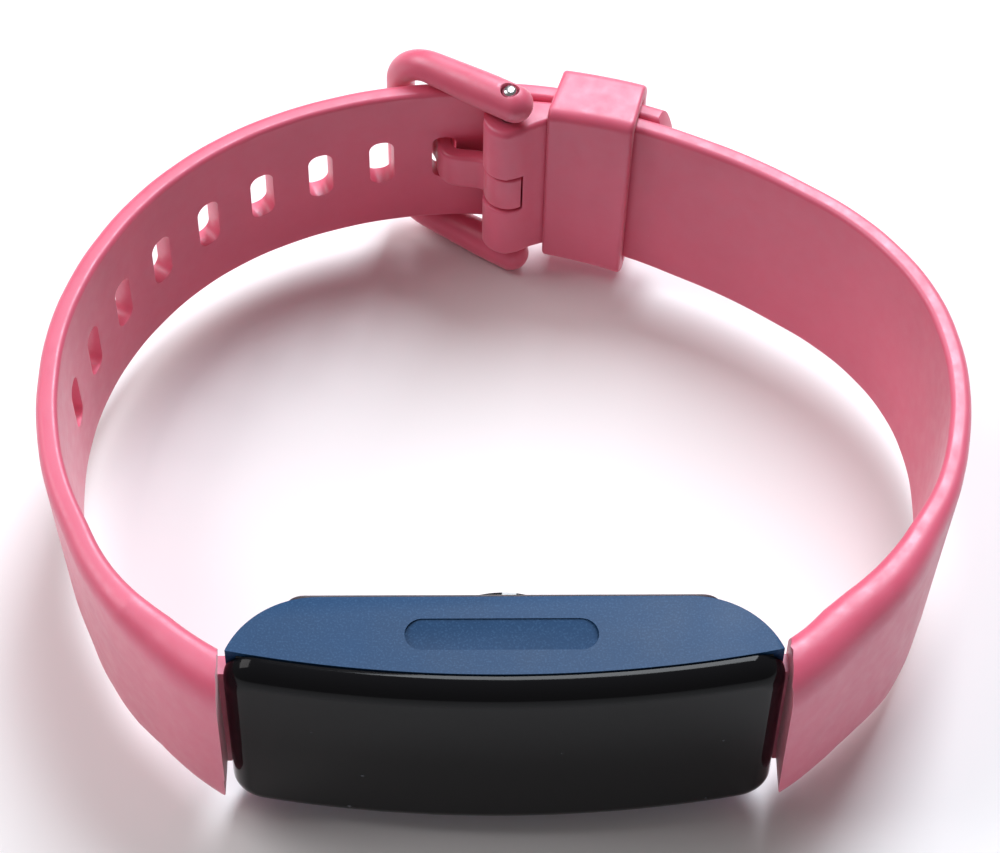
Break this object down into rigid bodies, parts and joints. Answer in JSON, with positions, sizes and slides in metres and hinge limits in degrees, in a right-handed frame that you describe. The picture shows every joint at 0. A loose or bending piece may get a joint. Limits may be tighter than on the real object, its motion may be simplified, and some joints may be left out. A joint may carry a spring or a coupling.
{
  "type": "fitness tracker band",
  "caption": "Slim wrist activity tracker on a buckled silicone band, standing on its edge, with a glossy curved display, pin buckle, tang and sliding keeper loop.",
  "frame": {"origin": "on the floor under the middle of the band's outer box; the band stands on its side edge", "axes": "+Z runs along the wrist, the display faces -Y, +X runs along the display towards the buckle half's side"},
  "size_m": [0.0634, 0.0572, 0.02],
  "materials": {
    "case_coat": "satin dark blue coat with a fine grain",
    "lens_black": "polished black lens",
    "seal_black": "matt black",
    "panel_black": "dark display glass",
    "frame_plastic": "moulded",
    "board_green": "solder mask",
    "chip_black": "moulded package",
    "gold_contact": "gold plated",
    "battery_foil": "pouch foil",
    "steel_parts": "turned",
    "weight_metal": "sintered weight",
    "cover_black": "satin black",
    "window_dark": "polished dark window",
    "led_clear": "clear cast",
    "strap_silicone": "matt silicone, pink",
    "buckle_plastic": "satin pink"
  },
  "bodies": {
    "band": {"housing": "case_coat", "lens": "lens_black", "lens_seal": "seal_black", "display_panel": "panel_black", "inner_frame": "frame_plastic", "main_board": "board_green", "board_chips": "chip_black", "antenna_strip": "gold_contact", "battery": "battery_foil", "motor_can": "steel_parts", "touch_pad_upper": "gold_contact", "touch_pad_lower": "gold_contact", "back_cover": "cover_black", "back_seal": "seal_black", "sensor_window": "window_dark", "sensor_board": "board_green", "sensor_leds": "led_clear", "photodiode": "chip_black", "light_barrier": "seal_black", "charge_contacts": "gold_contact", "tongue_strap": "strap_silicone", "buckle_strap": "strap_silicone", "left_bar_tube": "steel_parts", "left_bar_tip": "steel_parts", "left_bar_spring": "steel_parts", "right_bar_tube": "steel_parts", "right_bar_tip": "steel_parts", "right_bar_spring": "steel_parts"},
    "keeper": {"keeper_loop": "strap_silicone"},
    "buckle": {"buckle_frame": "buckle_plastic", "buckle_pin": "steel_parts"},
    "tang": {"buckle_tang": "buckle_plastic"},
    "left_release": {"left_release_pin": "steel_parts"},
    "right_release": {"right_release_pin": "steel_parts"},
    "rotor": {"motor_rotor": "weight_metal"}
  },
  "joints": [
    {"name": "keeper_slide", "type": "hinge", "parent": "band", "child": "keeper", "pos_m": [-0.00216, -0.00753, 0.01], "axis": [0, 0, 1], "range_deg": [-6, 1.2]},
    {"name": "buckle_swing", "type": "hinge", "parent": "band", "child": "buckle", "pos_m": [0.00103, 0.0223, 0.01], "axis": [0, 0, 1], "range_deg": [-1.5, 0]},
    {"name": "tang_swing", "type": "hinge", "parent": "band", "child": "tang", "pos_m": [0.00103, 0.0223, 0.01], "axis": [0, 0, 1], "range_deg": [-0.8, 0.6]},
    {"name": "left_release_slide", "type": "slide", "parent": "band", "child": "left_release", "axis": [0, 0, 1], "range_m": [-0.0012, 0], "stiffness_N_per_m": 300, "springref_m": 0.002, "deforming": ["left_bar_spring"]},
    {"name": "right_release_slide", "type": "slide", "parent": "band", "child": "right_release", "axis": [0, 0, 1], "range_m": [-0.0012, 0], "stiffness_N_per_m": 300, "springref_m": 0.002, "deforming": ["right_bar_spring"]},
    {"name": "rotor_spin", "type": "hinge", "parent": "band", "child": "rotor", "pos_m": [0.00664, -0.02218, 0.0055], "axis": [1, 0, 0], "continuous": true}
  ]
}
